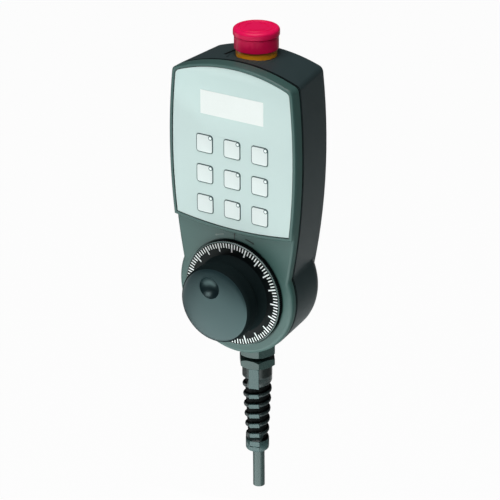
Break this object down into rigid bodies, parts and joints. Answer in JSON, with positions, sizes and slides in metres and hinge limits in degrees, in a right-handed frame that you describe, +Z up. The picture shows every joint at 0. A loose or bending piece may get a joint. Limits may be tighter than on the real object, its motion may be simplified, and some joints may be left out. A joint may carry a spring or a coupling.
{
  "type": "teach pendant",
  "caption": "Hand-held control pendant with a stop head on top, a membrane keypad, a detented handwheel with a dial, and a cable gland with a spiral bend guard below.",
  "frame": {"origin": "on the flat magnetic back, behind the centre of the middle key", "axes": "+Z up towards the stop head, +Y out of the back, the keypad and the handwheel face -Y, +X to the right of someone who faces the keypad"},
  "size_m": [0.1014, 0.0737, 0.3484],
  "materials": {
    "housing": "fine-grained moulded polyamide, grey-green",
    "seal": "matt black elastomer",
    "film": "satin polyester overlay, pale grey-green",
    "key_cap": "satin, near white",
    "inner_plastic": "plain",
    "board": "green laminate",
    "dark_plastic": "moulded, black",
    "terminal_green": "moulded, green",
    "knob_plastic": "satin, near black",
    "dial_black": "black anodised, white printed divisions",
    "steel": "zinc plated or stainless",
    "brass": "plain",
    "stop_red": "semi-gloss red",
    "collar_yellow": "semi-gloss amber yellow",
    "gland_plastic": "satin polyamide, grey",
    "coil_plastic": "satin, dark grey",
    "sheath": "satin cable sheath, grey"
  },
  "bodies": {
    "housing": {"front_shell": "housing", "rear_shell": "housing", "housing_seal": "seal", "housing_screws": "steel", "brass_inserts": "brass", "magnets": "steel", "magnet_screws": "steel", "keypad_film": "film", "keypad_spacer": "inner_plastic", "keypad_circuit": "board", "contact_domes": "steel", "main_board": "board", "board_screws": "steel", "board_components": "dark_plastic", "terminal_block": "terminal_green", "encoder_bush": "brass", "bush_nut": "steel", "encoder_body": "dark_plastic", "encoder_cover": "dark_plastic", "encoder_board": "board", "detent_spring": "steel", "estop_collar": "collar_yellow", "estop_gasket": "seal", "estop_body": "dark_plastic", "estop_nut": "steel", "estop_spring": "steel", "contact_block": "dark_plastic", "gland_seal": "seal", "gland_body": "gland_plastic", "gland_locknut": "steel", "gland_insert": "seal", "gland_nut": "gland_plastic", "bend_spiral": "coil_plastic", "inner_lead": "sheath", "cable": "sheath"},
    "wheel": {"handwheel_knob": "knob_plastic", "dial_disc": "dial_black", "wheel_shaft": "steel", "code_disc": "steel", "detent_ring": "inner_plastic"},
    "stop_plunger": {"estop_stem": "dark_plastic"},
    "stop_head": {"estop_head": "stop_red"},
    "key_1_body": {"key_1": "key_cap"},
    "key_2_body": {"key_2": "key_cap"},
    "key_3_body": {"key_3": "key_cap"},
    "key_4_body": {"key_4": "key_cap"},
    "key_5_body": {"key_5": "key_cap"},
    "key_6_body": {"key_6": "key_cap"},
    "key_7_body": {"key_7": "key_cap"},
    "key_8_body": {"key_8": "key_cap"},
    "key_9_body": {"key_9": "key_cap"}
  },
  "joints": [
    {"name": "wheel_spin", "type": "hinge", "parent": "housing", "child": "wheel", "pos_m": [0, -0.05, -0.084], "axis": [0, -1, 0], "continuous": true},
    {"name": "stop_press", "type": "slide", "parent": "housing", "child": "stop_plunger", "axis": [0, 0, -1], "range_m": [0, 0.004], "stiffness_N_per_m": 3000, "springref_m": -0.003, "deforming": ["estop_spring"]},
    {"name": "stop_twist", "type": "hinge", "parent": "stop_plunger", "child": "stop_head", "pos_m": [0, -0.0185, 0.09], "axis": [0, 0, -1], "range_deg": [0, 45], "stiffness_Nm_per_rad": 0.08, "springref_deg": -5.73},
    {"name": "key_1_press", "type": "slide", "parent": "housing", "child": "key_1_body", "axis": [0, 1, 0], "range_m": [0, 0.0005], "stiffness_N_per_m": 2000, "springref_m": -0.0005},
    {"name": "key_2_press", "type": "slide", "parent": "housing", "child": "key_2_body", "axis": [0, 1, 0], "range_m": [0, 0.0005], "stiffness_N_per_m": 2000, "springref_m": -0.0005},
    {"name": "key_3_press", "type": "slide", "parent": "housing", "child": "key_3_body", "axis": [0, 1, 0], "range_m": [0, 0.0005], "stiffness_N_per_m": 2000, "springref_m": -0.0005},
    {"name": "key_4_press", "type": "slide", "parent": "housing", "child": "key_4_body", "axis": [0, 1, 0], "range_m": [0, 0.0005], "stiffness_N_per_m": 2000, "springref_m": -0.0005},
    {"name": "key_5_press", "type": "slide", "parent": "housing", "child": "key_5_body", "axis": [0, 1, 0], "range_m": [0, 0.0005], "stiffness_N_per_m": 2000, "springref_m": -0.0005},
    {"name": "key_6_press", "type": "slide", "parent": "housing", "child": "key_6_body", "axis": [0, 1, 0], "range_m": [0, 0.0005], "stiffness_N_per_m": 2000, "springref_m": -0.0005},
    {"name": "key_7_press", "type": "slide", "parent": "housing", "child": "key_7_body", "axis": [0, 1, 0], "range_m": [0, 0.0005], "stiffness_N_per_m": 2000, "springref_m": -0.0005},
    {"name": "key_8_press", "type": "slide", "parent": "housing", "child": "key_8_body", "axis": [0, 1, 0], "range_m": [0, 0.0005], "stiffness_N_per_m": 2000, "springref_m": -0.0005},
    {"name": "key_9_press", "type": "slide", "parent": "housing", "child": "key_9_body", "axis": [0, 1, 0], "range_m": [0, 0.0005], "stiffness_N_per_m": 2000, "springref_m": -0.0005}
  ]
}
